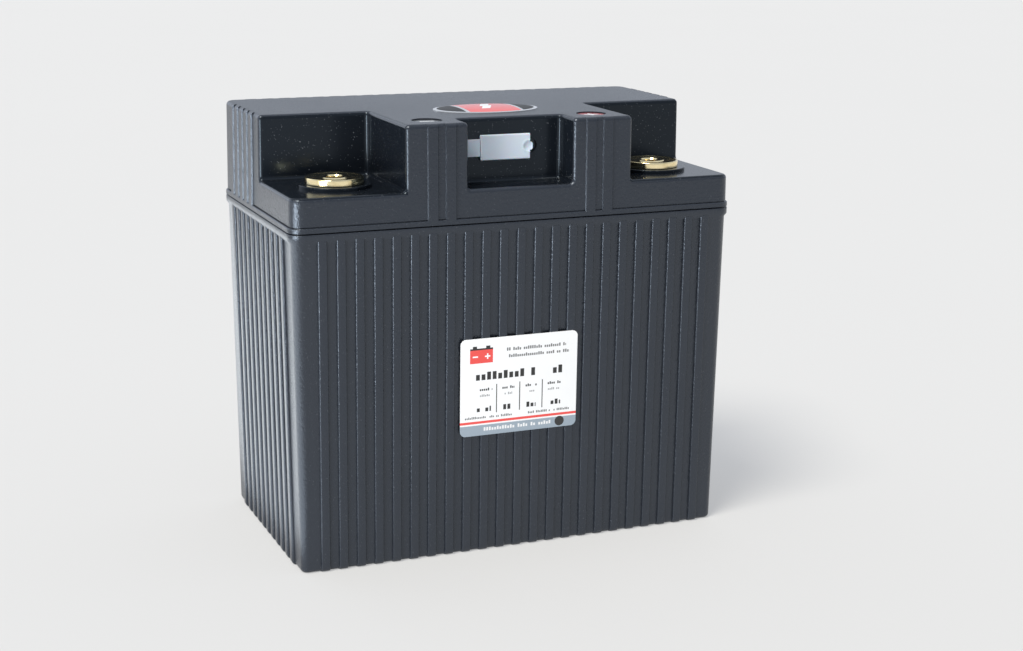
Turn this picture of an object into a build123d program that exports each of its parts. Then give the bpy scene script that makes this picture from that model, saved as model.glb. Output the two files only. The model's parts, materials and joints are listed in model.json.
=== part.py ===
from build123d import *
import os
from math import atan, cos, degrees, floor, radians, sin, tan

# Sealed 12 V starter battery with four cells in series.
# Millimetres. X runs along the front, Y from front to back, Z up.
# The origin is the centre of the base.

os.makedirs("parts", exist_ok=True)

# ---------------------------------------------------------------- outer shell
case_length = 165.0  # X, across the seam band
case_width = 92.2  # Y, across the seam band
case_height = 119.4  # base to seam
lid_height = 34.8  # seam to top
corner_radius = 5.0  # upright corners at the seam
least_corner_radius = 1.0  # inner corners, where the wall offset would use up the radius
case_draft = 0.8  # degrees, the case walls come in towards the base
lid_draft = 0.7  # degrees, the lid walls come in towards the top
base_edge_radius = 1.5
lid_edge_radius = 1.5
wall = 3.0
base_thickness = 3.0
roof_thickness = 3.0
base_recess_depth = 0.4  # hollow under the base, inside the resting rim
base_rim_width = 9.0

# Raised detail: ribs, the case's top band and the lid's bottom bead share one height
relief = 0.6
rib_width = 3.4
rib_flank = 0.35  # run of each sloped rib side
rib_root = 1.0  # how far the rib profile is sunk into the wall
rib_overrun = 0.4  # how far the rib profile stands past the envelope that trims it
front_rib_pitch = 6.513
side_rib_pitch = 6.434
front_rib_margin = 10.0  # least distance of a rib's centre from the case's ends
side_rib_margin = 12.0
band_height = 2.2
band_slope_height = 1.2
bead_height = 1.65
bead_chamfer = 0.3
groove_height = 0.45  # shadow line between the bead and the lid's wall
groove_depth = 0.5
seam_gap = 0.45  # open shadow line between lid and case
seam_gap_depth = 1.0
tongue_clearance = 0.15  # lid's locating tongue to case wall
tongue_thickness = 1.6
tongue_depth = 4.0
tongue_root = 3.0  # height of the thick rim that carries the tongue

# ------------------------------------------------------- bays and port pocket
bay_length = 40.5  # X, from the case's end to the tower's side
bay_depth = 41.9  # Y, from the case's front to the bay's back wall
bay_floor_height = 12.0  # above the seam
pocket_width = 39.2
pocket_depth = 13.1
overcut = 20.0  # how far the cutting blocks run past the lid
bay_edge_radius = 1.4  # uprights and floors of bays and pocket
tower_rib_edge = 4.5  # least plain strip beside a rib on a tower's front
pick_reach = 0.15  # how near an edge lies to the height it is chosen by

# ------------------------------------------------------------------ terminals
terminal_setback_x = 18.4  # from the tower's side
terminal_setback_y = 19.1  # from the bay's back wall
boss_margin = 2.6  # boss showing round the disc
boss_height = 1.2
boss_edge = 0.3
disc_radius = 10.1
disc_height = 2.35
disc_edge = 0.35
disc_ring_radius = 5.6  # middle of the turned groove in the disc's face
disc_ring_width = 0.8
disc_ring_depth = 0.4
stem_radius = 6.0
stem_clearance = 0.1
stem_tip = 1.5  # stem left showing below the nut
thread_radius = 2.5  # M6 core
thread_depth = 11.0
thread_mouth = 0.9
stem_chamfer = 0.5
gasket_margin = 1.0  # from the stem to the gasket
gasket_width = 2.0
gasket_thickness = 0.8
washer_margin = 4.0  # washer round the stem
washer_thickness = 1.5
nut_margin = 3.5  # nut's flats round the stem
nut_thickness = 5.0
nut_chamfer = 0.8

# ---------------------------------------------------------------------- cells
cell_gap_x = 2.0  # centre divider
cell_gap_y = 1.5  # left and right dividers
end_foam = 10.0  # at the base, between cells and the case's ends
side_foam = 6.0  # at the base, between cells and the case's front and back
base_pad_thickness = 5.0
cell_headroom = 19.4  # cell top to seam
cell_corner_radius = 2.5
cell_edge_radius = 0.8
post_radius = 5.0
post_height = 3.5
post_inset = 15.0  # from the post's axis to the cell's end
vent_radius = 4.0
vent_height = 0.3
divider_drop = 4.0  # dividers stop this far below the cell top
plate_thickness = 1.5
plate_hole_clearance = 0.5
link_width = 12.0
link_thickness = 1.2
lead_thickness = 1.5
lead_width = 14.0
lead_eye_margin = 4.5  # lead's eye round the stem
lead_leg_offset = 7.0  # from the cell post's axis to the inner face of the riser
hold_down_clearance = 1.0  # from the links to the foam
hold_down_inset = 22.0  # from the cell block's ends

# ----------------------------------------------------------------- port cover
port_offset_x = -2.2
port_height = 12.3  # above the bay floor
port_pins_count = 5
port_pitch = 2.0
socket_width = 12.2
socket_height = 5.4
socket_depth = 10.5
housing_wall = 1.0
housing_back = 1.5
housing_clearance = 0.1
flange_lip = 1.8
flange_thickness = 1.5
pin_size = 0.8
pin_reach = 5.0
wire_radius = 0.8
wire_inset = 2.4  # from a lead's edges to the wire's end
wire_drop_near = 9.5  # depths behind the connector where the wires turn down
wire_drop_middle = 13.0
wire_drop_far = 18.0
bundle_height = 16.0  # above the posts, where the wires part
bundle_fan_height = 8.0  # above the posts, where the wires run out sideways
bundle_fan_x = 12.0
bundle_fan_y = 19.0
bend_share = 0.45  # of the shorter run beside a bend
cover_lap_left = 1.6  # cover past the connector's nose
cover_lap_right = 2.6
cover_lap_high = 0.7
cover_thickness = 1.4
cover_gap = 0.15  # cover to pocket wall
cover_corner = 0.35
nub_height = 2.9
nub_reach = 1.05
nub_corner = 0.8
catch_radius = 1.1
catch_depth = 1.0
catch_inset = 0.2  # from the cover's end to the catch's axis
dimple_radius = 2.45
dimple_depth = 1.3
dimple_offset = 0.75  # dimple's centre past the cover's end
strap_height = 5.9
strap_thickness = 1.0
strap_margin = 0.7  # from the pocket's rounded corner to the strap's end
hinge_gap = 0.2
peg_radius = 1.5
peg_clearance = 0.05
peg_inset = 2.6
peg_head_radius = 2.3
peg_head_height = 1.5

# ---------------------------------------------------------------- trim pieces
mark_radius = 5.1
mark_thickness = 0.4
mark_recess = 0.8
mark_clearance = 0.2
mark_setback = 11.7  # from the case's front to the mark's centre
badge_length = 39.0
badge_width = 25.5
badge_thickness = 0.7
badge_edge = 0.3
badge_setback = 35.1  # from the case's front to the badge's centre
label_width = 44.5
label_height = 35.3
label_thickness = 0.25
label_corner = 2.0
label_offset_x = -0.3
label_centre_height = 61.2

# ------------------------------------------------------------- derived places
top_height = case_height + lid_height
front_y = -case_width / 2
tower_x = case_length / 2 - bay_length
bay_back_y = front_y + bay_depth
bay_floor = case_height + bay_floor_height
bay_ceiling = bay_floor - wall
pocket_back_y = front_y + pocket_depth
terminal_x = tower_x + terminal_setback_x
terminal_y = bay_back_y - terminal_setback_y
boss_top = bay_floor + boss_height
boss_radius = disc_radius + boss_margin
disc_top = boss_top + disc_height
gasket_inner_radius = stem_radius + gasket_margin
gasket_outer_radius = gasket_inner_radius + gasket_width
lead_bottom = bay_ceiling - lead_thickness
washer_bottom = lead_bottom - washer_thickness
nut_bottom = washer_bottom - nut_thickness
stem_bottom = nut_bottom - stem_tip
shell_inset = relief + wall


def drawn_in(z, draft):
    """How far a drafted wall has come in at height z from its place at the seam."""
    return abs(z - case_height) * tan(radians(draft))


base_draw = drawn_in(base_thickness, case_draft)
block_length = case_length - 2 * (shell_inset + base_draw + end_foam)
block_width = case_width - 2 * (shell_inset + base_draw + side_foam)
cell_length = (block_length - cell_gap_x) / 2
cell_width = (block_width - cell_gap_y) / 2
cell_bottom = base_thickness + base_pad_thickness
cell_top = case_height - cell_headroom
post_top = cell_top + post_height
cell_x = (cell_length + cell_gap_x) / 2
cell_y = (cell_width + cell_gap_y) / 2
inner_post_x = cell_x - cell_length / 2 + post_inset
outer_post_x = cell_x + cell_length / 2 - post_inset
hold_down_front_y = cell_y + link_width / 2 + hold_down_clearance
port_z = bay_floor + port_height
nose_width = socket_width + 2 * housing_wall
nose_height = socket_height + 2 * housing_wall
cover_left = port_offset_x - nose_width / 2 - cover_lap_left
cover_right = port_offset_x + nose_width / 2 + cover_lap_right
cover_x = (cover_left + cover_right) / 2
cover_width = cover_right - cover_left
cover_height = nose_height + 2 * cover_lap_high
cover_back_y = pocket_back_y - cover_gap
strap_right = cover_left - hinge_gap
strap_left = bay_edge_radius + strap_margin - pocket_width / 2
strap_length = strap_right - strap_left
peg_x = strap_left + peg_inset
housing_back_y = pocket_back_y + socket_depth + housing_back
mouth_length = case_length - 2 * shell_inset
mouth_width = case_width - 2 * shell_inset
mouth_radius = max(corner_radius - shell_inset - base_draw, least_corner_radius) + base_draw


def rib_centres(span, pitch, margin):
    """Rib centres on one side, evenly spaced about its middle, none within margin of the ends."""
    gaps = floor((span - 2 * margin) / pitch)
    return [(index - gaps / 2) * pitch for index in range(gaps + 1)]


front_ribs = rib_centres(case_length, front_rib_pitch, front_rib_margin)
side_ribs = rib_centres(case_width, side_rib_pitch, side_rib_margin)
lid_side_ribs = [y for y in side_ribs if y > bay_back_y + side_rib_pitch]
tower_rib_low = pocket_width / 2 + tower_rib_edge + rib_width / 2
tower_rib_high = tower_x - tower_rib_edge - rib_width / 2
tower_ribs = [x for x in front_ribs if tower_rib_low <= abs(x) <= tower_rib_high]


def save(piece, name):
    """Name a finished piece and write its STEP file."""
    piece.part.label = name
    export_step(piece.part, f"parts/{name}.step")


def seam_outline(inset, z, draft):
    """Rounded outline of the shell at height z, taken in by inset and by the draft."""
    shrink = inset + drawn_in(z, draft)
    radius = max(corner_radius - shrink, least_corner_radius)
    with BuildSketch(Plane.XY.offset(z)) as outline:
        RectangleRounded(case_length - 2 * shrink, case_width - 2 * shrink, radius)
    return outline.sketch


def case_block(inset, z_low, z_high, mode=Mode.ADD):
    """Block that widens upwards with the case's draft."""
    outline = seam_outline(inset, z_low, case_draft)
    extrude(outline, amount=z_high - z_low, taper=-case_draft, mode=mode)


def lid_block(inset, z_low, z_high, mode=Mode.ADD):
    """Block that narrows upwards with the lid's draft."""
    outline = seam_outline(inset, z_low, lid_draft)
    extrude(outline, amount=z_high - z_low, taper=lid_draft, mode=mode)


def mouth_outline(inset):
    """Outline of the case's mouth at the seam, taken in by inset."""
    radius = max(mouth_radius - inset, least_corner_radius)
    with BuildSketch(Plane.XY.offset(case_height)) as outline:
        RectangleRounded(mouth_length - 2 * inset, mouth_width - 2 * inset, radius)
    return outline.sketch


def down_side(out_x, out_y, z_top, lean):
    """Plane at the top of a side: +X along it, +Y out of it, +Z down it, leaning in by lean."""
    drop = drawn_in(z_top, lid_draft)
    reach_x = out_x * (case_length / 2 - drop)
    reach_y = out_y * (case_width / 2 - drop)
    downwards = (-out_x * sin(radians(lean)), -out_y * sin(radians(lean)), -cos(radians(lean)))
    return Plane(origin=(reach_x, reach_y, z_top), x_dir=(-out_y, out_x, 0), z_dir=downwards)


def rib_prisms(plane, centres, length):
    """Straight ribs with sloped flanks, run along the plane's normal."""
    foot = rib_width / 2 + rib_flank
    crest = rib_width / 2 - rib_flank * rib_overrun / relief
    sunk = -relief - rib_root
    outline = [(-foot, sunk), (foot, sunk), (foot, -relief), (crest, rib_overrun)]
    outline += [(-crest, rib_overrun), (-foot, -relief)]
    with BuildSketch(plane) as profiles:
        with Locations(*[(centre, 0) for centre in centres]):
            Polygon(*outline, align=None)
    extrude(profiles.sketch, amount=length)


# ------------------------------------------------------------------------ case
with BuildPart() as case_envelope:
    case_block(0, 0, case_height)
    fillet(case_envelope.edges().group_by(Axis.Z)[0], base_edge_radius)

with BuildPart() as case_ribs:
    for out in (-1, 1):
        rib_prisms(down_side(0, out, case_height, case_draft), front_ribs, case_height + rib_root)
        rib_prisms(down_side(out, 0, case_height, case_draft), side_ribs, case_height + rib_root)
    add(case_envelope.part, mode=Mode.INTERSECT)

with BuildPart() as case:
    case_block(relief, 0, case_height)
    fillet(case.edges().group_by(Axis.Z)[0], base_edge_radius)
    add(case_ribs.part)
    band_bottom = case_height - band_height
    case_block(0, band_bottom, case_height)
    slope_foot = seam_outline(relief, band_bottom - band_slope_height, case_draft)
    slope_angle = degrees(atan(relief / band_slope_height)) + case_draft
    extrude(slope_foot, amount=band_slope_height, taper=-slope_angle)
    case_block(shell_inset, base_thickness, case_height, mode=Mode.SUBTRACT)
    recess = seam_outline(base_rim_width, 0, case_draft)
    extrude(recess, amount=base_recess_depth, mode=Mode.SUBTRACT)
save(case, "case")

# ------------------------------------------------------------------------- lid
lid_start = case_height + seam_gap
groove_top = lid_start + bead_height + groove_height
throat_high = case_height + tongue_root


def bay_cut(grow):
    """Cut both terminal bays, each grown by a wall where asked."""
    block_x = bay_length + overcut + grow
    block_y = bay_depth + overcut + grow
    with BuildSketch(Plane.XY.offset(bay_floor - grow)) as bays:
        for side in (-1, 1):
            with Locations((side * (tower_x - grow + block_x / 2), bay_back_y + grow - block_y / 2)):
                Rectangle(block_x, block_y)
    extrude(bays.sketch, amount=lid_height, mode=Mode.SUBTRACT)


def pocket_cut(grow):
    """Cut the port pocket, grown by a wall where asked."""
    block_y = pocket_depth + overcut + grow
    with BuildSketch(Plane.XY.offset(bay_floor - grow)) as pocket:
        with Locations((0, pocket_back_y + grow - block_y / 2)):
            Rectangle(pocket_width + 2 * grow, block_y)
    extrude(pocket.sketch, amount=lid_height, mode=Mode.SUBTRACT)


def bay_edges(piece):
    """Uprights and floor edges of the bays and the pocket, the four outer corners left out."""
    inner_x = case_length / 2 - 2 * corner_radius
    uprights = piece.edges().filter_by(lambda edge: abs(edge.tangent_at(0).Z) > cos(radians(45)))
    by_bay = uprights.filter_by(lambda edge: abs(edge.center().Y - bay_back_y) < wall)
    by_tower = uprights.filter_by(lambda edge: abs(edge.center().X) < inner_x and edge not in by_bay)
    floors = piece.edges().filter_by(lambda edge: abs(edge.center().Z - bay_floor) < pick_reach)
    return by_bay + by_tower + floors


def facing_front(x, y, z):
    """Upright plane that faces the front: +X right, +Y up, +Z out of the front."""
    return Plane(origin=(x, y, z), x_dir=(1, 0, 0), z_dir=(0, -1, 0))


port_face = facing_front(port_offset_x, pocket_back_y, port_z)
terminal_places = [(side * terminal_x, terminal_y) for side in (-1, 1)]
mark_x = (pocket_width / 2 + tower_x) / 2
mark_places = [(side * mark_x, front_y + mark_setback) for side in (-1, 1)]

with BuildPart() as lid_cavity:
    lid_block(shell_inset, throat_high, top_height - roof_thickness)
    bay_cut(wall)
    pocket_cut(wall)
    throat = mouth_outline(tongue_clearance + tongue_thickness)
    extrude(throat, amount=tongue_root)
    extrude(throat, amount=-tongue_depth)

with BuildPart() as lid_envelope:
    lid_block(0, lid_start, top_height)
    fillet(lid_envelope.edges().group_by(Axis.Z)[-1], lid_edge_radius)

with BuildPart() as lid_ribs:
    rib_length = lid_height - seam_gap - bead_height / 2
    for out_x in (-1, 1):
        side_plane = down_side(out_x, 0, top_height, -lid_draft)
        rib_prisms(side_plane, [out_x * y for y in lid_side_ribs], rib_length)
    rib_prisms(down_side(0, -1, top_height, -lid_draft), tower_ribs, rib_length)
    rib_prisms(down_side(0, 1, top_height, -lid_draft), front_ribs, rib_length)
    add(lid_envelope.part, mode=Mode.INTERSECT)

with BuildPart() as lid:
    lid_block(relief, groove_top, top_height)
    bay_cut(0)
    pocket_cut(0)
    fillet(bay_edges(lid), bay_edge_radius)
    fillet(lid.edges().group_by(Axis.Z)[-1], lid_edge_radius)
    add(lid_ribs.part)
    # groove over the bead, the bead, the step that rests on the case and the tongue that drops inside it
    lid_block(relief + groove_depth, lid_start, groove_top)
    bead_crest = lid_start + bead_height - bead_chamfer
    lid_block(0, lid_start, bead_crest)
    extrude(seam_outline(0, bead_crest, lid_draft), amount=bead_chamfer, taper=45)
    lid_block(relief + seam_gap_depth, case_height, lid_start)
    tongue = mouth_outline(tongue_clearance)
    extrude(tongue, amount=tongue_root)
    extrude(tongue, amount=-tongue_depth)
    add(lid_cavity.part, mode=Mode.SUBTRACT)
    # terminal bosses, each with a gasket groove round the stem's hole
    with BuildSketch(Plane.XY.offset(bay_floor - wall)) as bosses:
        with Locations(*terminal_places):
            Circle(boss_radius)
    extrude(amount=wall + boss_height)
    boss_rims = lid.edges().filter_by_position(Axis.Z, boss_top - boss_edge, boss_top + boss_edge)
    fillet(boss_rims, boss_edge)
    with BuildSketch(Plane.XY.offset(boss_top)) as grooves:
        with Locations(*terminal_places):
            Circle(gasket_outer_radius)
            Circle(gasket_inner_radius, mode=Mode.SUBTRACT)
    extrude(amount=-gasket_thickness, mode=Mode.SUBTRACT)
    with BuildSketch(Plane.XY.offset(boss_top)) as stem_holes:
        with Locations(*terminal_places):
            Circle(stem_radius + stem_clearance)
    extrude(amount=-wall - boss_height, mode=Mode.SUBTRACT)
    # recesses for the polarity marks
    with BuildSketch(Plane.XY.offset(top_height)) as mark_recesses:
        with Locations(*mark_places):
            Circle(mark_radius + mark_clearance)
    extrude(amount=-mark_recess, mode=Mode.SUBTRACT)
    # window for the port, finger dimple and the strap's peg hole in the pocket's back wall
    with BuildSketch(port_face) as window:
        Rectangle(nose_width + 2 * housing_clearance, nose_height + 2 * housing_clearance)
    extrude(amount=-wall, mode=Mode.SUBTRACT)
    with BuildSketch(facing_front(cover_right + dimple_offset, pocket_back_y, port_z)) as dimple:
        Circle(dimple_radius)
    extrude(amount=-dimple_depth, mode=Mode.SUBTRACT)
    with BuildSketch(facing_front(peg_x, pocket_back_y, port_z)) as peg_hole:
        Circle(peg_radius + peg_clearance)
    extrude(amount=-wall, mode=Mode.SUBTRACT)
save(lid, "lid")

# ------------------------------------------------------------------- terminals
for side, pole in ((-1, "negative"), (1, "positive")):
    place = (side * terminal_x, terminal_y)

    with BuildPart() as terminal:
        with BuildSketch(Plane.XY.offset(stem_bottom)) as stem:
            with Locations(place):
                Circle(stem_radius)
        extrude(amount=boss_top - stem_bottom)
        chamfer(terminal.edges().group_by(Axis.Z)[0], stem_chamfer)
        with BuildSketch(Plane.XY.offset(boss_top)) as disc:
            with Locations(place):
                Circle(disc_radius)
        extrude(amount=disc_height)
        fillet(terminal.edges().group_by(Axis.Z)[-1], disc_edge)
        with BuildSketch(Plane.XY.offset(disc_top)) as groove:
            with Locations(place):
                Circle(disc_ring_radius + disc_ring_width / 2)
                Circle(disc_ring_radius - disc_ring_width / 2, mode=Mode.SUBTRACT)
        extrude(amount=-disc_ring_depth, mode=Mode.SUBTRACT)
        with BuildSketch(Plane.XY.offset(disc_top)) as bore:
            with Locations(place):
                Circle(thread_radius)
        extrude(amount=-thread_depth, mode=Mode.SUBTRACT)
        mouth = terminal.edges().group_by(Axis.Z)[-1].sort_by(SortBy.RADIUS)[0]
        chamfer(mouth, thread_mouth)
    save(terminal, f"{pole}_terminal")

    with BuildPart() as gasket:
        with BuildSketch(Plane.XY.offset(boss_top - gasket_thickness)) as gasket_ring:
            with Locations(place):
                Circle(gasket_outer_radius)
                Circle(gasket_inner_radius, mode=Mode.SUBTRACT)
        extrude(amount=gasket_thickness)
    save(gasket, f"{pole}_terminal_gasket")

    with BuildPart() as washer:
        with BuildSketch(Plane.XY.offset(washer_bottom)) as washer_ring:
            with Locations(place):
                Circle(stem_radius + washer_margin)
                Circle(stem_radius + stem_clearance, mode=Mode.SUBTRACT)
        extrude(amount=washer_thickness)
    save(washer, f"{pole}_terminal_washer")

    with BuildPart() as nut:
        with BuildSketch(Plane.XY.offset(nut_bottom)) as hexagon:
            with Locations(place):
                RegularPolygon(stem_radius + nut_margin, 6, major_radius=False)
        extrude(amount=nut_thickness)
        chamfer(nut.edges().group_by(Axis.Z)[0], nut_chamfer)
        with BuildSketch(Plane.XY.offset(nut_bottom)) as nut_bore:
            with Locations(place):
                Circle(stem_radius)
        extrude(amount=nut_thickness, mode=Mode.SUBTRACT)
    save(nut, f"{pole}_terminal_nut")

    with BuildPart() as lead:
        riser_x = side * (inner_post_x + lead_leg_offset + lead_thickness / 2)
        with BuildSketch(Plane.XY.offset(lead_bottom)) as strap_plan:
            with Locations(place):
                Circle(stem_radius + lead_eye_margin)
            with Locations((riser_x, -cell_y)):
                Rectangle(lead_thickness, lead_width)
            make_hull()
            with Locations(place):
                Circle(stem_radius + stem_clearance, mode=Mode.SUBTRACT)
        extrude(amount=lead_thickness)
        with BuildSketch(Plane.XY.offset(post_top)) as riser:
            with Locations((riser_x, -cell_y)):
                Rectangle(lead_thickness, lead_width)
        extrude(amount=lead_bottom - post_top)
        foot_length = 2 * lead_leg_offset + lead_thickness
        with BuildSketch(Plane.XY.offset(post_top)) as foot:
            with Locations((side * (inner_post_x + lead_thickness / 2), -cell_y)):
                Rectangle(foot_length, lead_width)
        extrude(amount=lead_thickness)
    save(lead, f"{pole}_lead")

# ----------------------------------------------------------------------- cells
# in series order: left front, left back, right back, right front
for number, (side, row) in enumerate(((-1, -1), (-1, 1), (1, 1), (1, -1)), start=1):
    with BuildPart() as cell:
        with BuildSketch(Plane.XY.offset(cell_bottom)) as can:
            with Locations((side * cell_x, row * cell_y)):
                RectangleRounded(cell_length, cell_width, cell_corner_radius)
        extrude(amount=cell_top - cell_bottom)
        fillet(cell.edges().group_by(Axis.Z)[-1], cell_edge_radius)
        with BuildSketch(Plane.XY.offset(cell_top)) as posts:
            with Locations((side * inner_post_x, row * cell_y), (side * outer_post_x, row * cell_y)):
                Circle(post_radius)
        extrude(amount=post_height)
        with BuildSketch(Plane.XY.offset(cell_top)) as vent:
            with Locations((side * cell_x, row * cell_y)):
                Circle(vent_radius)
        extrude(amount=vent_height)
    save(cell, f"cell_{number}")

for name, link_x, link_y, span, turn in (
    ("cell_link_1", -outer_post_x, 0, 2 * cell_y, 90),
    ("cell_link_2", 0, cell_y, 2 * inner_post_x, 0),
    ("cell_link_3", outer_post_x, 0, 2 * cell_y, 90),
):
    with BuildPart() as link:
        with BuildSketch(Plane.XY.offset(post_top)) as slot:
            with Locations((link_x, link_y)):
                SlotCenterToCenter(span, link_width, rotation=turn)
        extrude(amount=link_thickness)
    save(link, name)

divider_height = cell_top - divider_drop - cell_bottom
half_divider = (block_length - cell_gap_x) / 2
for name, sheet_x, sheet_length, sheet_width in (
    ("centre_divider", 0, cell_gap_x, block_width),
    ("left_divider", -cell_x, half_divider, cell_gap_y),
    ("right_divider", cell_x, half_divider, cell_gap_y),
):
    with BuildPart() as divider:
        with BuildSketch(Plane.XY.offset(cell_bottom)) as sheet:
            with Locations((sheet_x, 0)):
                Rectangle(sheet_length, sheet_width)
        extrude(amount=divider_height)
    save(divider, name)

with BuildPart() as cell_plate:
    with BuildSketch(Plane.XY.offset(cell_top)) as plate_plan:
        RectangleRounded(block_length, block_width, cell_corner_radius)
        for side in (-1, 1):
            for row in (-1, 1):
                with Locations((side * inner_post_x, row * cell_y), (side * outer_post_x, row * cell_y)):
                    Circle(post_radius + plate_hole_clearance, mode=Mode.SUBTRACT)
                with Locations((side * cell_x, row * cell_y)):
                    Circle(vent_radius + plate_hole_clearance, mode=Mode.SUBTRACT)
    extrude(amount=plate_thickness)
save(cell_plate, "cell_plate")

# --------------------------------------------------------------- foam packing
with BuildPart() as base_pad:
    case_block(shell_inset, base_thickness, cell_bottom)
save(base_pad, "base_pad")

end_x = (case_length + block_length) / 4
side_y = (case_width + block_width) / 4
end_depth = (case_length - block_length) / 2
side_depth = (case_width - block_width) / 2
for name, zone_x, zone_y, zone_length, zone_width in (
    ("left_foam", -end_x, 0, end_depth, case_width),
    ("right_foam", end_x, 0, end_depth, case_width),
    ("front_foam", 0, -side_y, block_length, side_depth),
    ("back_foam", 0, side_y, block_length, side_depth),
):
    with BuildPart() as foam:
        case_block(shell_inset, base_thickness, cell_top)
        with BuildSketch(Plane.XY.offset(cell_bottom)) as zone:
            with Locations((zone_x, zone_y)):
                Rectangle(zone_length, zone_width)
        extrude(amount=cell_top - cell_bottom, mode=Mode.INTERSECT)
    save(foam, name)

with BuildPart() as hold_down_foam:
    with BuildSketch(Plane.XY.offset(cell_top + plate_thickness)) as hold_down_plan:
        with Locations((0, (hold_down_front_y + block_width / 2) / 2)):
            Rectangle(block_length - 2 * hold_down_inset, block_width / 2 - hold_down_front_y)
    extrude(amount=top_height - roof_thickness - cell_top - plate_thickness)
save(hold_down_foam, "hold_down_foam")

# ---------------------------------------------------------------- balance port
with BuildPart() as port_pins:
    with BuildSketch(port_face.offset(pin_reach - socket_depth)) as pin_plan:
        with GridLocations(port_pitch, 0, port_pins_count, 1):
            Rectangle(pin_size, pin_size)
    extrude(amount=-pin_reach - housing_back)
save(port_pins, "port_pins")

with BuildPart() as port_housing:
    with BuildSketch(port_face) as nose:
        Rectangle(nose_width, nose_height)
    extrude(amount=-socket_depth - housing_back)
    with BuildSketch(port_face.offset(-wall)) as flange:
        Rectangle(nose_width + 2 * flange_lip, nose_height + 2 * flange_lip)
    extrude(amount=-flange_thickness)
    with BuildSketch(port_face) as socket:
        Rectangle(socket_width, socket_height)
    extrude(amount=-socket_depth, mode=Mode.SUBTRACT)
    add(port_pins.part, mode=Mode.SUBTRACT)
save(port_housing, "port_housing")

with BuildPart() as port_cover:
    cover_plane = facing_front(cover_x, cover_back_y, port_z)
    with BuildSketch(cover_plane) as cover_plan:
        RectangleRounded(cover_width, cover_height, cover_corner)
        with Locations((cover_width / 2, 0)):
            RectangleRounded(2 * nub_reach, nub_height, nub_corner)
    extrude(amount=cover_thickness)
    with BuildSketch(cover_plane) as catch:
        with Locations((cover_width / 2 - catch_inset, 0)):
            Circle(catch_radius)
    extrude(amount=-catch_depth)
save(port_cover, "port_cover")

with BuildPart() as cover_strap:
    with BuildSketch(facing_front(strap_right - strap_length / 2, pocket_back_y, port_z)) as strap:
        Rectangle(strap_length, strap_height)
    extrude(amount=strap_thickness)
    with BuildSketch(facing_front(peg_x, pocket_back_y, port_z)) as peg:
        Circle(peg_radius)
    extrude(amount=-wall - peg_head_height)
    with BuildSketch(facing_front(peg_x, pocket_back_y + wall, port_z)) as peg_head:
        Circle(peg_head_radius)
    extrude(amount=-peg_head_height)
save(cover_strap, "cover_strap")

# --------------------------------------------------------------- balance wires
foot_top = post_top + lead_thickness
link_top = post_top + link_thickness
landing_x = inner_post_x - lead_leg_offset + wire_inset
landing_y = -cell_y + lead_width / 2 - wire_inset
bundle_low = post_top + bundle_height
fan_z = post_top + bundle_fan_height
fan_y = housing_back_y + bundle_fan_y
near_y = housing_back_y + wire_drop_near
middle_y = housing_back_y + wire_drop_middle
far_y = housing_back_y + wire_drop_far


def wire_route(pin, drop_y, points):
    """Out of the back of the connector, down at drop_y, then through the given points."""
    pin_x = port_offset_x + (pin - (port_pins_count + 1) / 2) * port_pitch
    return [(pin_x, housing_back_y, port_z), (pin_x, drop_y, port_z), (pin_x, drop_y, bundle_low)] + points


def bend_radii(points):
    """Radius at each inner point: a share of the shorter run over the tangent of half the turn."""
    radii = []
    for before, here, after in zip(points, points[1:], points[2:]):
        run_in = Vector(*here) - Vector(*before)
        run_out = Vector(*after) - Vector(*here)
        half_turn = radians(run_in.get_angle(run_out) / 2)
        radii.append(bend_share * min(run_in.length, run_out.length) / tan(half_turn))
    return radii


left_fan = (port_offset_x - bundle_fan_x, fan_y, fan_z)
right_fan = (port_offset_x + bundle_fan_x, fan_y, fan_z)
wire_routes = (
    wire_route(1, near_y, [(-landing_x, landing_y, fan_z), (-landing_x, landing_y, foot_top)]),
    wire_route(2, middle_y, [left_fan, (-outer_post_x, 0, fan_z), (-outer_post_x, 0, link_top)]),
    wire_route(3, far_y, [(port_offset_x, cell_y, fan_z), (port_offset_x, cell_y, link_top)]),
    wire_route(4, middle_y, [right_fan, (outer_post_x, 0, fan_z), (outer_post_x, 0, link_top)]),
    wire_route(5, near_y, [(landing_x, landing_y, fan_z), (landing_x, landing_y, foot_top)]),
)
for number, route in enumerate(wire_routes, start=1):
    with BuildPart() as balance_wire:
        with BuildLine() as wire_path:
            FilletPolyline(*route, radius=bend_radii(route))
        with BuildSketch(Plane(origin=route[0], z_dir=(0, 1, 0))) as wire_section:
            Circle(wire_radius)
        sweep()
    save(balance_wire, f"balance_wire_{number}")

# ------------------------------------------------------------------ trim pieces
for place, pole in zip(mark_places, ("negative", "positive")):
    with BuildPart() as mark:
        with BuildSketch(Plane.XY.offset(top_height - mark_recess)) as mark_plan:
            with Locations(place):
                Circle(mark_radius)
        extrude(amount=mark_thickness)
    save(mark, f"{pole}_mark")

with BuildPart() as badge:
    with BuildSketch(Plane.XY.offset(top_height)) as badge_plan:
        with Locations((0, front_y + badge_setback)):
            Ellipse(badge_length / 2, badge_width / 2)
    extrude(amount=badge_thickness)
    chamfer(badge.edges().group_by(Axis.Z)[-1], badge_edge)
save(badge, "badge")

with BuildPart() as front_label:
    label_y = front_y + drawn_in(label_centre_height, case_draft)
    label_place = (label_offset_x, label_y, label_centre_height)
    lean = radians(case_draft)
    with BuildSketch(Plane(label_place, x_dir=(1, 0, 0), z_dir=(0, -cos(lean), -sin(lean)))) as sticker:
        RectangleRounded(label_width, label_height, label_corner)
    extrude(amount=label_thickness)
save(front_label, "front_label")
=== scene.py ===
"""Looks of a sealed motorcycle battery: moulded black shell, brass terminals, port flap, printed stickers.

Metres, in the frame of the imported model: X along the front, Y from front to back, Z up, origin under
the middle of the base. Materials work in millimetres on Object coordinates.
"""

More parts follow.
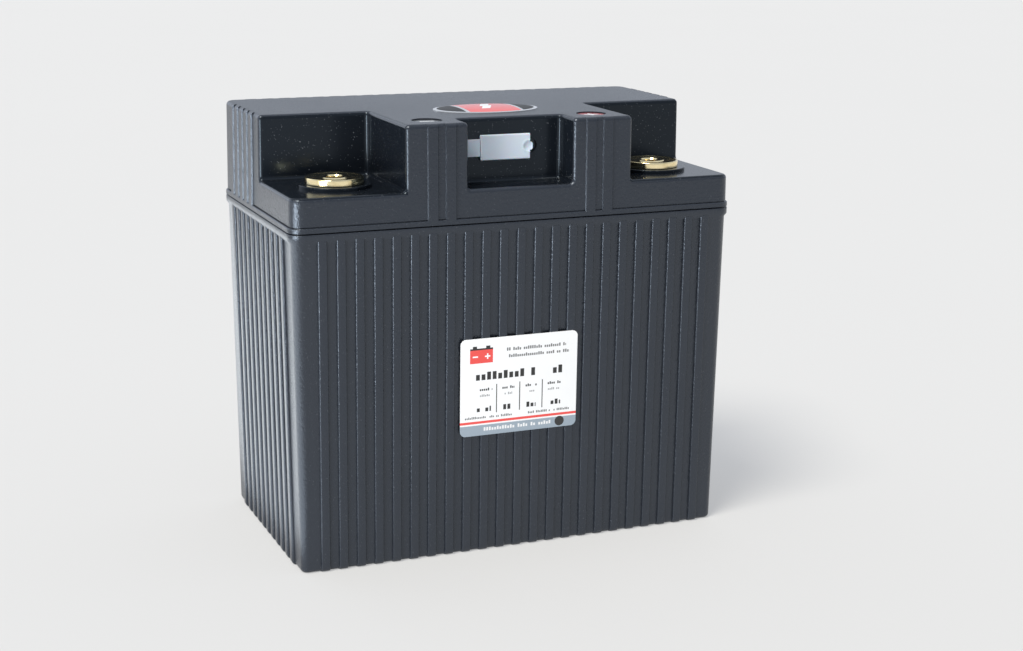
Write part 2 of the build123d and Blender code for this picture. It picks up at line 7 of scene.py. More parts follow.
import json
from math import cos, pi, radians, sin, tan, tau

import bmesh
import bpy
from mathutils import Euler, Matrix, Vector


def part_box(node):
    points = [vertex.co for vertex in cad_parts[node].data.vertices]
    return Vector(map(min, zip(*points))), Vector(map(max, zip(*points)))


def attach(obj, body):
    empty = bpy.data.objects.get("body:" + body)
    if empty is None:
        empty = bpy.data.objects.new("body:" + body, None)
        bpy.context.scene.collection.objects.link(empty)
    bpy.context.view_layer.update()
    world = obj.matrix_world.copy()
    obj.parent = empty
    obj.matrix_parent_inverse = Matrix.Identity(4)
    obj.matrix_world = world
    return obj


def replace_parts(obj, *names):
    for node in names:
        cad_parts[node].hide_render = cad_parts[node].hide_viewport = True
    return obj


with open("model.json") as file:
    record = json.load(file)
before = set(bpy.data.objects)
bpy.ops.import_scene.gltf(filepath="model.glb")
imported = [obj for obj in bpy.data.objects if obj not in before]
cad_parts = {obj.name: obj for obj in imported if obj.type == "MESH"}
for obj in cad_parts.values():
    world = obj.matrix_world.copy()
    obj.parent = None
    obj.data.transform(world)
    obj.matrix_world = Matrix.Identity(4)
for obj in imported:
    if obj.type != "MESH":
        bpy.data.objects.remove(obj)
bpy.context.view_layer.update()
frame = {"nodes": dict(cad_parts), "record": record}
nodes = frame["nodes"]
MM = 0.001

# ------------------------------------------------------------------------------ camera
CAMERA_PLACE = (-0.2357, -0.5982, 0.2298)
CAMERA_AZIMUTH = 22.79  # degrees left of the front, so that the left side shows
CAMERA_ELEVATION = 13.80
CAMERA_ROLL = 0.58
CAMERA_LENS = 62.13  # mm, on a 36 mm wide sensor

camera_data = bpy.data.cameras.new("camera")
camera_data.lens = CAMERA_LENS
camera = bpy.data.objects.new("camera", camera_data)
camera.location = CAMERA_PLACE
aim = Euler((radians(90 - CAMERA_ELEVATION), 0, radians(-CAMERA_AZIMUTH))).to_matrix()
roll = Euler((0, 0, radians(CAMERA_ROLL))).to_matrix()
camera.rotation_euler = (aim @ roll).to_euler()
bpy.context.scene.collection.objects.link(camera)
bpy.context.scene.camera = camera


# --------------------------------------------------------------------------- node kit
class Wire:
    """An output socket that takes part in arithmetic: each operator adds a Math node."""

    def __init__(self, tree, socket):
        self.tree = tree
        self.socket = socket

    def math(self, operation, *others):
        """The Math node of this operation on this wire and the others."""
        return self.tree.node("ShaderNodeMath", {"operation": operation}, dict(enumerate((self, *others))))

    def __add__(self, other):
        return self.math("ADD", other)

    def __radd__(self, other):
        return self.math("ADD", other)

    def __sub__(self, other):
        return self.math("SUBTRACT", other)

    def __rsub__(self, other):
        return -self + other

    def __mul__(self, other):
        return self.math("MULTIPLY", other)

    def __rmul__(self, other):
        return self.math("MULTIPLY", other)

    def __truediv__(self, other):
        return self.math("DIVIDE", other)

    def __gt__(self, other):
        return self.math("GREATER_THAN", other)

    def __lt__(self, other):
        return self.math("LESS_THAN", other)

    def __pow__(self, other):
        return self.math("POWER", other)

    def __neg__(self):
        return self * -1.0

    def __abs__(self):
        return self.math("ABSOLUTE")

    def __or__(self, other):
        """Either of two masks, each 0 or 1."""
        return (self + other).math("MINIMUM", 1.0)


class Tree:
    """A node tree. node() adds any node: its settings first, then the values or links of its sockets.

    A list of wires goes to a socket that takes many links.
    """

    def __init__(self, tree):
        self.tree = tree

    def node(self, kind, settings=None, inputs=None, output=0):
        """A new node's output as a wire."""
        made = self.tree.nodes.new(kind)
        for name, value in (settings or {}).items():
            setattr(made, name, value)
        for key, value in (inputs or {}).items():
            if isinstance(value, Wire):
                self.tree.links.new(value.socket, made.inputs[key])
            elif isinstance(value, list):
                for wire in reversed(value):
                    self.tree.links.new(wire.socket, made.inputs[key])
            else:
                made.inputs[key].default_value = value
        return Wire(self, made.outputs[output]) if made.outputs else None

    def split(self, vector):
        """The three parts of a vector."""
        parts = self.node("ShaderNodeSeparateXYZ", None, {0: vector}).socket.node.outputs
        return [Wire(self, part) for part in parts]


def grey(level):
    """An opaque neutral colour."""
    return (level, level, level, 1.0)


class Finish(Tree):
    """A material with one principled shader, its patterns laid out in millimetres."""

    def __init__(self, name, **fixed):
        self.material = bpy.data.materials.new(name)
        self.material.use_nodes = True
        super().__init__(self.material.node_tree)
        self.shader = self.tree.nodes["Principled BSDF"]
        for socket, value in fixed.items():
            self.shader.inputs[socket.replace("_", " ")].default_value = value
        place = self.node("ShaderNodeTexCoord", output="Object")
        self.place = self.node("ShaderNodeVectorMath", {"operation": "SCALE"}, {0: place, "Scale": 1 / MM})
        self.x, self.y, self.z = self.split(self.place)

    def noise(self, size, detail=2.0, place=None, seed=0.0):
        """Noise from 0 to 1 whose features are about size millimetres wide."""
        settings = {"noise_dimensions": "4D"}
        inputs = {"Vector": place or self.place, "W": seed, "Scale": 1 / size, "Detail": detail}
        return self.node("ShaderNodeTexNoise", settings, inputs)

    def stretched(self, x, y, z):
        """Object place with each axis multiplied, for brushed or drawn patterns."""
        return self.node("ShaderNodeVectorMath", {"operation": "MULTIPLY"}, {0: self.place, 1: (x, y, z)})

    def spread(self, value, low, high):
        """A value eased from 0 at low to 1 at high, and held at both ends."""
        inputs = {"Value": value, 1: low, 2: high, 3: 0.0, 4: 1.0}
        return self.node("ShaderNodeMapRange", {"interpolation_type": "SMOOTHSTEP"}, inputs)

    def blend(self, factor, below, above):
        """A colour between two, by a factor."""
        inputs = {0: factor, 6: below, 7: above}
        return self.node("ShaderNodeMix", {"data_type": "RGBA"}, inputs, output=2)

    @staticmethod
    def inside(value, low, high):
        """1 where a value lies between two numbers."""
        return (value > low) * (value < high)

    @staticmethod
    def disc(across, up, centre_across, centre_up, radius):
        """1 inside a circle."""
        span = (across - centre_across) ** 2.0 + (up - centre_up) ** 2.0
        return span < radius**2

    def bump(self, height, depth, below=None):
        """The normal of a height from 0 to 1, its depth in millimetres, over another normal."""
        inputs = {"Height": height, "Distance": depth * MM, "Strength": 1.0}
        if below:
            inputs["Normal"] = below
        return self.node("ShaderNodeBump", None, inputs)

    def relief(self, *layers):
        """Bump from (height, depth) layers, in turn."""
        normal = None
        for height, depth in layers:
            normal = self.bump(height, depth, normal)
        self.set("Normal", normal)

    def set(self, socket, wire):
        """Link a varying value to the shader."""
        self.tree.links.new(wire.socket, self.shader.inputs[socket])


# --------------------------------------------------------------------------- measures
seam_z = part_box("case")[1].z / MM
lid_low, lid_high = (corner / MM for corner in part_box("lid"))
front_y = lid_low.y
disc_low, disc_high = (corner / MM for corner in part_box("positive_terminal"))
terminal_x = (disc_low.x + disc_high.x) / 2
terminal_y = (disc_low.y + disc_high.y) / 2
disc_radius = (disc_high.x - disc_low.x) / 2
disc_top = disc_high.z
cover_low, cover_high = (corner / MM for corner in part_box("port_cover"))
pocket_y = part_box("port_housing")[0].y / MM
SETBACK_X = 18.4  # terminal axis to the tower's side
SETBACK_Y = 19.1  # terminal axis to the bay's back wall
DISC_ABOVE_FLOOR = 3.55
POCKET_HALF = 19.6
tower_x = terminal_x - SETBACK_X
bay_back_y = terminal_y + SETBACK_Y
bay_floor = disc_top - DISC_ABOVE_FLOOR


# -------------------------------------------------------------------------- materials
BAY_MARGIN = 0.5  # how far the polished, painted-shade area reaches past a bay's inner side
WALL_MARGIN = 0.4  # past the other walls of the bays and the pocket
FLOOR_MARGIN = 0.6
POCKET_LIP = 2.2  # the pocket's satin front edge, left out of the painted shade
TOP_MARGIN = 0.5  # satin strip below the lid's top, left out of the painted shade
LINT_GREY = (0.20, 0.21, 0.23, 1.0)


def shell_plastic():
    """Black moulded plastic: satin grain outside; smoother inside the bays and the port pocket, where a darker
    base and weaker reflection are painted shade.
    """
    # The cool specular tint, here and in the inner shader below, is painted light: it gives the plastic's
    # reflections the bluish colour of the studio light.
    finish = Finish("black_shell_plastic", IOR=1.66, Specular_Tint=(0.78, 0.87, 1.0, 1.0))
    grain = finish.noise(0.50, detail=3.0)
    coarse = finish.noise(1.00, detail=2.0, seed=3.0)
    cloud = finish.noise(45.0, detail=2.0, seed=7.0)
    lint = finish.spread(finish.noise(0.36, detail=0.0, seed=11.0), 0.775, 0.80)
    recessed = (finish.z > bay_floor - FLOOR_MARGIN) * (finish.z < lid_high.z - TOP_MARGIN)
    bays = (abs(finish.x) > tower_x - BAY_MARGIN) * (finish.y < bay_back_y + WALL_MARGIN)
    pocket = (abs(finish.x) < POCKET_HALF + WALL_MARGIN) * (finish.y < pocket_y + WALL_MARGIN)
    # the recesses that are polished and painted darker as shade
    polished_and_shaded = (bays | pocket * (finish.y > front_y + POCKET_LIP)) * recessed
    finish.set("Roughness", 0.30 + (grain - 0.5) * 0.16 + (cloud - 0.5) * 0.08)
    base = finish.blend(cloud, (0.0100, 0.0118, 0.0165, 1.0), (0.0135, 0.0155, 0.0205, 1.0))
    finish.set("Base Color", finish.blend(lint * 0.25, base, LINT_GREY))
    finish.relief((coarse, 0.15), (grain, 0.10))
    # Painted shade: inside the bays and the pocket a darker base colour and a low IOR dim the reflections,
    # standing for the shade in these recesses. The lower roughness there is the real polish, and the lint
    # specks are real dust.
    specks_on_shade = finish.blend(lint * 0.6, (0.006, 0.008, 0.0115, 1.0), LINT_GREY)
    inner = finish.node(
        "ShaderNodeBsdfPrincipled",
        None,
        {
            "Base Color": specks_on_shade,
            "Roughness": 0.20,
            "IOR": 1.36,
            "Specular Tint": (0.74, 0.87, 1.0, 1.0),
            "Normal": finish.bump(coarse, 0.004),
        },
    )
    outer = Wire(finish, finish.shader.outputs[0])
    mixed = finish.node("ShaderNodeMixShader", None, {0: polished_and_shaded, 1: outer, 2: inner})
    finish.tree.links.new(mixed.socket, finish.tree.nodes["Material Output"].inputs["Surface"])
    return finish.material


def polished_brass():
    """Turned brass: fine tool lines round the axis, a thin tarnish and fingerprints."""
    finish = Finish("polished_brass", Metallic=1.0)
    radius = ((abs(finish.x) - terminal_x) ** 2.0 + (finish.y - terminal_y) ** 2.0).math("SQRT")
    lines = finish.node(
        "ShaderNodeTexNoise", {"noise_dimensions": "1D"}, {"W": radius, "Scale": 9.0, "Detail": 2.0}
    )
    tarnish = finish.spread(finish.noise(5.0, detail=3.0), 0.45, 0.75)
    spots = finish.spread(finish.noise(0.8, detail=2.0, seed=5.0), 0.66, 0.74)
    bright = finish.blend(tarnish, (0.96, 0.82, 0.50, 1.0), (0.80, 0.62, 0.30, 1.0))
    finish.set("Base Color", finish.blend(spots * 0.35, bright, (0.34, 0.24, 0.12, 1.0)))
    finish.set("Roughness", 0.10 + tarnish * 0.12 + lines * 0.06)
    finish.relief((lines, 0.004))
    return finish.material


def machined_metal(name, bright, dull, roughness):
    """Milled or drawn metal with streaks, dull patches and small pits."""
    finish = Finish(name, Metallic=1.0)
    streaks = finish.noise(0.4, detail=2.0, place=finish.stretched(0.12, 1.0, 1.0))
    patches = finish.noise(6.0, detail=3.0, seed=2.0)
    finish.set("Base Color", finish.blend(patches, bright, dull))
    finish.set("Roughness", roughness + streaks * 0.18 + patches * 0.1)
    finish.relief((streaks, 0.015))
    return finish.material


def soft_rubber():
    """Matt black rubber with a fine bloom."""
    finish = Finish("black_seal_rubber", IOR=1.5)
    bloom = finish.noise(3.0, detail=3.0)
    finish.set("Base Color", finish.blend(bloom, grey(0.012), grey(0.035)))
    finish.set("Roughness", 0.62 + bloom * 0.2)
    finish.relief((finish.noise(0.25, detail=2.0), 0.02))
    return finish.material


def closed_foam():
    """Charcoal closed-cell foam: tight bubbles and soft colour drift."""
    finish = Finish("charcoal_foam", IOR=1.45)
    bubbles = finish.node(
        "ShaderNodeTexVoronoi", {"feature": "F1"}, {"Vector": finish.place, "Scale": 1 / 0.9}
    )
    drift = finish.noise(20.0, detail=3.0)
    finish.set("Base Color", finish.blend(drift, grey(0.028), grey(0.055)))
    finish.set("Roughness", 0.85 + bubbles * 0.1)
    finish.relief((bubbles, 0.25))
    return finish.material


def cell_sleeve():
    """Blue shrink sleeve, slightly puckered, over a cell's can."""
    finish = Finish("blue_shrink_sleeve", IOR=1.5)
    pucker = finish.noise(4.0, detail=2.0, place=finish.stretched(1.0, 1.0, 0.2))
    dust = finish.noise(14.0, detail=4.0, seed=4.0)
    finish.set("Base Color", finish.blend(dust, (0.020, 0.085, 0.30, 1.0), (0.035, 0.13, 0.38, 1.0)))
    finish.set("Roughness", 0.24 + dust * 0.14)
    finish.relief((pucker, 0.12))
    return finish.material


def pressed_board():
    """Grey-green insulating board with pressed fibres."""
    finish = Finish("insulating_board", IOR=1.45)
    fibres = finish.noise(0.5, detail=3.0, place=finish.stretched(1.0, 1.0, 0.25))
    drift = finish.noise(12.0, detail=2.0, seed=6.0)
    finish.set("Base Color", finish.blend(fibres, (0.40, 0.40, 0.32, 1.0), (0.55, 0.54, 0.45, 1.0)))
    finish.set("Roughness", 0.70 + drift * 0.2)
    finish.relief((fibres, 0.05))
    return finish.material


def moulded(name, low, high, roughness):
    """Plain moulded plastic or wire insulation: faint flow marks and a fine grain."""
    finish = Finish(name, IOR=1.5)
    flow = finish.noise(5.0, detail=3.0, place=finish.stretched(1.0, 1.0, 0.4))
    finish.set("Base Color", finish.blend(flow, low, high))
    finish.set("Roughness", roughness + flow * 0.12)
    finish.relief((finish.noise(0.3, detail=2.0), 0.01))
    return finish.material


TETHER_REACH = 7.0  # from the flap's hinge line to the tether's far end


def flap_plastic():
    """Milky translucent flap: bluish white, darker towards its tether end and lighter towards the nub, with a
    faint moulded grain.
    """
    finish = Finish("milky_flap_plastic", IOR=1.46, Subsurface_Weight=0.35, Subsurface_Scale=0.002)
    along = finish.spread(finish.x, cover_low.x - TETHER_REACH, cover_high.x)
    flow = finish.noise(4.0, detail=2.0)
    # darker towards the tether end, lighter towards the nub
    tether_to_nub_tone = finish.blend(along, (0.31, 0.37, 0.45, 1.0), (0.64, 0.71, 0.79, 1.0))
    finish.set("Base Color", finish.blend(flow * 0.35, tether_to_nub_tone, (0.62, 0.70, 0.79, 1.0)))
    finish.set("Roughness", 0.28 + flow * 0.1)
    finish.relief((finish.noise(0.35, detail=2.0), 0.012))
    return finish.material


SIGN_HALF = 2.6  # half length of a minus or plus stroke on a mark
SIGN_THIN = 0.55  # half its thickness
# width of the painted shade at a mark's rim
MARK_RIM_SHADE = 0.45


def mark_print(name, ground, edge, plus):
    """A printed disc: ground colour, a darker rim that is painted shade from its recess wall, and a light
    minus or plus sign.
    """
    finish = Finish(name, IOR=1.5, Coat_Weight=0.6, Coat_Roughness=0.12)
    low, high = (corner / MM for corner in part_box(name))
    across = finish.x - (low.x + high.x) / 2
    up = finish.y - (low.y + high.y) / 2
    sign = (abs(across) < SIGN_HALF) * (abs(up) < SIGN_THIN)
    if plus:
        sign = sign | (abs(across) < SIGN_THIN) * (abs(up) < SIGN_HALF)
    # Painted shade: the disc's outer ring takes the darker edge colour, as the shadow of the recess wall
    # around it.
    rim = 1 - finish.disc(across, up, 0.0, 0.0, (high.x - low.x) / 2 - MARK_RIM_SHADE)
    fade = finish.noise(2.5, detail=2.0)
    face = finish.blend(rim, finish.blend(fade, ground, edge), edge)
    finish.set("Base Color", finish.blend(sign, face, grey(0.78)))
    finish.set("Roughness", 0.30 + fade * 0.1)
    finish.relief((sign, 0.03), (finish.noise(0.4, detail=1.0), 0.006))
    return finish.material


BADGE_MIDDLE = 0.50  # the red middle's half width, as a share of the badge's
BADGE_DIVIDER = 0.56  # the outer edge of the silver dividers, likewise
BADGE_BORDER = 0.93  # where the silver border starts, as a share of the way to the edge
BOLT_SLANT = 0.45
BOLT_HALF_HEIGHT = 6.0
BOLT_OVERLAP = 0.6
BOLT_NEAR, BOLT_FAR = 1.0, 2.2  # each half of the bolt runs from far on its own side to near on the other


def badge_print():
    """Domed sticker: silver border, black ends, silver dividers, red middle with a plain bolt on it."""
    finish = Finish("domed_badge_print", IOR=1.4, Coat_Roughness=0.04)
    low, high = (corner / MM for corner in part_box("badge"))
    half_x = (high.x - low.x) / 2
    half_y = (high.y - low.y) / 2
    across = finish.x - (low.x + high.x) / 2
    up = finish.y - (low.y + high.y) / 2
    reach = ((across / half_x) ** 2.0 + (up / half_y) ** 2.0).math("SQRT")
    border = reach > BADGE_BORDER
    middle = abs(across) < half_x * BADGE_MIDDLE
    silver = finish.inside(abs(across), half_x * BADGE_MIDDLE, half_x * BADGE_DIVIDER) | border
    slant = across - up * BOLT_SLANT
    upper = finish.inside(slant, -BOLT_FAR, BOLT_NEAR) * finish.inside(up, -BOLT_OVERLAP, BOLT_HALF_HEIGHT)
    lower = finish.inside(slant, -BOLT_NEAR, BOLT_FAR) * finish.inside(up, -BOLT_HALF_HEIGHT, BOLT_OVERLAP)
    shade = finish.noise(6.0, detail=2.0)
    red = finish.blend(shade, (0.62, 0.035, 0.030, 1.0), (0.72, 0.07, 0.055, 1.0))
    colour = finish.blend(middle, grey(0.008), red)
    colour = finish.blend(upper | lower, colour, grey(0.86))
    finish.set("Base Color", finish.blend(silver, colour, grey(0.74)))
    finish.set("Roughness", 0.40 + shade * 0.08 - silver * 0.18)
    finish.set("Metallic", silver * 0.85)
    finish.set("Coat Weight", (middle * (1 - border) | silver) * 0.8)
    finish.relief((finish.noise(1.6, detail=2.0), 0.01))
    return finish.material


STROKE_GAPS = 0.16  # share of the strokes left out as gaps between words
STROKE_LOW = 0.62  # share below which a stroke is a low one
STROKE_DROP = 0.28  # how much shorter a low stroke is
STROKE_WIDTH = 0.70  # of its pitch


class Sticker(Finish):
    """A printed sticker. Places run in millimetres from its left and its top edge."""

    def __init__(self, name, node, **fixed):
        super().__init__(name, **fixed)
        low, high = (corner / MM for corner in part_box(node))
        self.width = high.x - low.x
        self.height = high.z - low.z
        self.u = self.x - low.x
        self.v = high.z - self.z
        self.colour = None

    def print_over(self, mask, colour):
        """Print a colour where the mask is 1."""
        self.colour = self.blend(mask, self.colour, colour)

    def block(self, left, right, top, bottom):
        """1 inside a block whose edges are shares of the sticker's size."""
        across = self.inside(self.u, left * self.width, right * self.width)
        return across * self.inside(self.v, top * self.height, bottom * self.height)

    def strokes(self, left, right, top, tall, pitch, seed):
        """A line of short strokes in word-like groups, standing for small print: no letters."""
        high = top * self.height
        cells = (self.u - left * self.width) / pitch
        pair = self.node("ShaderNodeCombineXYZ", None, {0: cells.math("FLOOR"), 1: seed})
        chance = self.node("ShaderNodeTexWhiteNoise", {"noise_dimensions": "2D"}, {"Vector": pair})
        word = chance > STROKE_GAPS
        stem = cells.math("FRACT") < STROKE_WIDTH
        riser = self.v - high > tall * STROKE_DROP * (chance < STROKE_LOW)
        line = self.block(left, right, top, top + tall / self.height)
        return line * word * stem * riser


SIGN_PLACE = 0.175  # the battery sign's middle, as a share of the width and of the height
SIGN_SIDE, SIGN_TOP = 4.3, 2.7  # half size of the sign's red body
SIGN_COVER = 2.1  # where its black cover starts
SIGN_STUD, SIGN_STUD_HALF = 2.5, 0.8  # its studs, either side of the middle
SIGN_STUD_TOP, SIGN_STUD_FOOT = 3.5, 2.6
POLE_PLACE, POLE_DROP = 2.3, 0.3  # its minus and plus
POLE_HALF, POLE_THIN = 1.0, 0.26
# left, right and top of each line as shares of the label, its height and pitch in millimetres, its grey
LABEL_LINES = (
    (0.39, 0.90, 0.115, 1.15, 0.80, 0.16),
    (0.39, 0.93, 0.185, 1.15, 0.80, 0.16),
    (0.13, 0.88, 0.345, 2.9, 2.10, 0.016),
    (0.04, 0.44, 0.800, 0.85, 0.62, 0.16),
    (0.58, 0.94, 0.800, 0.85, 0.62, 0.16),
)
TABLE_COLUMNS = ((0.13, 0.27), (0.355, 0.46), (0.555, 0.655), (0.73, 0.87))
TABLE_RULES = (0.307, 0.505, 0.70)
RULE_HALF = 0.004
OFF_LEFT, OFF_RIGHT = -1.0, 2.0  # past the label's edges


def battery_sign(label, ink, red, light):
    """A red battery sign with a black cover, two studs, a minus and a plus."""
    u = label.u - SIGN_PLACE * label.width
    v = label.v - SIGN_PLACE * label.height
    body = abs(u) < SIGN_SIDE
    label.print_over(body * (abs(v) < SIGN_TOP), red)
    studs = abs(abs(u) - SIGN_STUD) < SIGN_STUD_HALF
    label.print_over(studs * label.inside(v, -SIGN_STUD_TOP, -SIGN_STUD_FOOT), ink)
    label.print_over(body * label.inside(v, -SIGN_TOP, -SIGN_COVER), ink)
    level = abs(v - POLE_DROP)
    label.print_over((abs(abs(u) - POLE_PLACE) < POLE_HALF) * (level < POLE_THIN), light)
    label.print_over((abs(u - POLE_PLACE) < POLE_THIN) * (level < POLE_HALF), light)


def label_print():
    """White rating sticker: a battery sign, strokes for print, a ruled table, a red line and a grey band."""
    ink, red = grey(0.016), (0.80, 0.075, 0.065, 1.0)
    label = Sticker("rating_label_print", "front_label", IOR=1.5, Coat_Weight=0.35, Coat_Roughness=0.2)
    paper = label.noise(9.0, detail=3.0)
    label.colour = label.blend(paper, grey(0.86), grey(0.90))
    battery_sign(label, ink, red, grey(0.9))
    lines = list(LABEL_LINES)
    for left, right in TABLE_COLUMNS:
        lines.append((left, right, 0.510, 1.0, 0.75, 0.016))
        lines.append((left + 0.02, right - 0.02, 0.575, 0.85, 0.65, 0.35))
        lines.append((left + 0.01, right - 0.01, 0.700, 1.9, 1.6, 0.016))
    for seed, (left, right, top, tall, pitch, level) in enumerate(lines):
        label.print_over(label.strokes(left, right, top, tall, pitch, float(seed)), grey(level))
    for u in TABLE_RULES:
        label.print_over(label.block(u - RULE_HALF, u + RULE_HALF, 0.48, 0.775), ink)
    label.print_over(label.block(OFF_LEFT, OFF_RIGHT, 0.850, 0.876), red)
    label.print_over(label.block(OFF_LEFT, OFF_RIGHT, 0.892, 2.0), (0.30, 0.36, 0.42, 1.0))
    label.print_over(label.strokes(0.20, 0.78, 0.918, 1.3, 1.0, 40.0), grey(0.80))
    dot = label.disc(label.u, label.v, 0.855 * label.width, 0.937 * label.height, 1.8)
    label.print_over(dot, grey(0.02))
    label.set("Base Color", label.colour)
    label.set("Roughness", 0.34 + paper * 0.08)
    label.relief((label.noise(7.0, detail=1.0, seed=9.0), 0.02), (label.noise(0.5, detail=1.0), 0.004))
    return label.material


finishes = {
    "shell": shell_plastic(),
    "brass": polished_brass(),
    "brass_nut": machined_metal("machined_brass", (0.83, 0.62, 0.27, 1.0), (0.62, 0.44, 0.18, 1.0), 0.25),
    "steel": machined_metal("zinc_steel", (0.60, 0.61, 0.63, 1.0), (0.42, 0.43, 0.45, 1.0), 0.28),
    "copper": machined_metal("tinned_copper", (0.80, 0.52, 0.38, 1.0), (0.66, 0.38, 0.25, 1.0), 0.25),
    "pin_metal": machined_metal("tinned_pin", (0.80, 0.77, 0.70, 1.0), (0.62, 0.58, 0.50, 1.0), 0.2),
    "rubber_seal": soft_rubber(),
    "cell_sleeve": cell_sleeve(),
    "divider": pressed_board(),
    "foam": closed_foam(),
    "connector": moulded("natural_nylon", (0.66, 0.64, 0.54, 1.0), (0.76, 0.74, 0.66, 1.0), 0.36),
    "flap": flap_plastic(),
    "wire_black": moulded("black_wire", grey(0.012), grey(0.022), 0.34),
    "wire_white": moulded("white_wire", grey(0.62), grey(0.74), 0.34),
    "wire_red": moulded("red_wire", (0.42, 0.012, 0.012, 1.0), (0.55, 0.022, 0.02, 1.0), 0.34),
    # the second colour of each mark is its darker tone, also used for the rim's painted shade
    "mark_black": mark_print("negative_mark", grey(0.020), grey(0.012), plus=False),
    "mark_red": mark_print("positive_mark", (0.52, 0.055, 0.06, 1.0), (0.10, 0.012, 0.014, 1.0), plus=True),
    "badge": badge_print(),
    "label": label_print(),
}
slot_of = {row["node"]: row["material_slot"] for row in frame["record"]["subparts"]}
for name, node in nodes.items():
    node.data.materials.clear()
    node.data.materials.append(finishes[slot_of[name]])


# ----------------------------------------------------------------------- mesh makers
SHARP_EDGE = radians(38)
MERGE_DISTANCE = 1e-7


def close_mesh(name, shape, slot, body="root"):
    """Turn a bmesh into a finished piece on its body: outward faces, smooth but for its real edges."""
    bmesh.ops.remove_doubles(shape, verts=shape.verts, dist=MERGE_DISTANCE)
    bmesh.ops.recalc_face_normals(shape, faces=shape.faces)
    for face in shape.faces:
        face.smooth = True
    for edge in shape.edges:
        edge.smooth = edge.calc_face_angle(0.0) < SHARP_EDGE
    mesh = bpy.data.meshes.new(name)
    shape.to_mesh(mesh)
    shape.free()
    mesh.materials.append(finishes[slot])
    piece = bpy.data.objects.new(name, mesh)
    bpy.context.scene.collection.objects.link(piece)
    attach(piece, body)
    return piece


def rounded_loop(half_x, half_y, radius, steps):
    """Points round a rectangle with rounded corners, the same number whatever its size."""
    points = []
    for corner, (side_x, side_y) in enumerate(((1, 1), (-1, 1), (-1, -1), (1, -1))):
        for step in range(steps + 1):
            angle = (corner + step / steps) * pi / 2
            x = side_x * (half_x - radius) + radius * cos(angle)
            y = side_y * (half_y - radius) + radius * sin(angle)
            points.append((x, y))
    return points


def ring(centre_across, centre_up, half_across, half_up, steps):
    """Points round an ellipse."""
    turns = (step / steps * tau for step in range(steps))
    return [(centre_across + half_across * cos(turn), centre_up + half_up * sin(turn)) for turn in turns]


def skin(loops, shape=None):
    """A closed bmesh over loops of equal length, in millimetres, with a face on the first and the last."""
    shape = shape or bmesh.new()
    rows = [[shape.verts.new(Vector(point) * MM) for point in loop] for loop in loops]
    for below, above in zip(rows, rows[1:]):
        for index, vert in enumerate(below):
            after = (index + 1) % len(below)
            shape.faces.new((vert, below[after], above[after], above[index]))
    shape.faces.new(rows[0])
    shape.faces.new(rows[-1])
    return shape


def quarter(steps):
    """Shares of a quarter round, from (0, 1) to (1, 0)."""
    return [(sin(step / steps * pi / 2), cos(step / steps * pi / 2)) for step in range(steps + 1)]


class Recipe(Tree):
    """A geometry node group with named sizes in metres. make() gives its result as a plain mesh."""

    def __init__(self, name, **sizes):
        self.group = bpy.data.node_groups.new(name, "GeometryNodeTree")
        super().__init__(self.group)
        self.sizes = sizes
        self.keys = {}
        for label, value in sizes.items():
            kind = "NodeSocketInt" if isinstance(value, int) else "NodeSocketFloat"
            socket = self.group.interface.new_socket(label, in_out="INPUT", socket_type=kind)
            self.keys[label] = socket.identifier
        self.group.interface.new_socket("Geometry", in_out="OUTPUT", socket_type="NodeSocketGeometry")
        entry = self.node("NodeGroupInput").socket.node
        self.size = {label: Wire(self, entry.outputs[label]) for label in sizes}

    def vector(self, x=0.0, y=0.0, z=0.0):
        """A vector of three values or wires."""
        return self.node("ShaderNodeCombineXYZ", None, {0: x, 1: y, 2: z})

    def make(self, geometry, slot):
        """Close the tree, run it once on an empty mesh and return the plain mesh that it makes."""
        real = self.node("GeometryNodeRealizeInstances", None, {0: geometry})
        shown = self.node("GeometryNodeSetMaterial", None, {"Geometry": real, "Material": finishes[slot]})
        self.node("NodeGroupOutput", None, {0: shown})
        blank = bpy.data.objects.new("blank", bpy.data.meshes.new("blank"))
        bpy.context.scene.collection.objects.link(blank)
        modifier = blank.modifiers.new("recipe", "NODES")
        modifier.node_group = self.group
        for label, value in self.sizes.items():
            modifier[self.keys[label]] = value
        done = blank.evaluated_get(bpy.context.evaluated_depsgraph_get())
        mesh = bpy.data.meshes.new_from_object(done)
        blank.modifiers.remove(modifier)
        bpy.data.objects.remove(blank)
        return mesh


# ------------------------------------------------------------------------------ case
RELIEF = 0.85  # ribs and band above the wall
CORNER = 5.0
CORNER_LEAST = 0.8
CORNER_STEPS = 10
CASE_DRAFT = tan(radians(0.8))
BASE_EDGE = 1.5
BAND_HEIGHT = 2.2
BAND_SLOPE = 1.2
INNER_WALL = 3.6  # from the envelope to the inside
BASE_THICKNESS = 3.0
BASE_RIM = 9.0
BASE_HOLLOW = 0.4
BAND_ROUND = 0.25
RIB_WIDTH = 2.9
RIB_FLANK = 0.36  # how far a flank slopes out over the relief
RIB_SUNK = 0.5  # root of the rib inside the wall
RIB_ROUND = 0.50
RIB_ROWS = 26
RIB_CROWDING = 2.4  # more rows towards the foot, where the rib bends in
RIB_LIFT = 0.05  # the rib's lowest row over the floor
FRONT_RIBS, FRONT_PITCH = 23, 6.513
SIDE_RIBS, SIDE_PITCH = 11, 6.434
case_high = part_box("case")[1] / MM


def case_loop(inset, z):
    """The case's outline at a height, taken in by inset from its envelope."""
    drawn = inset + (seam_z - z) * CASE_DRAFT
    radius = max(CORNER - drawn, CORNER_LEAST)
    outline = rounded_loop(case_high.x - drawn, case_high.y - drawn, radius, CORNER_STEPS)
    return [(x, y, z) for x, y in outline]


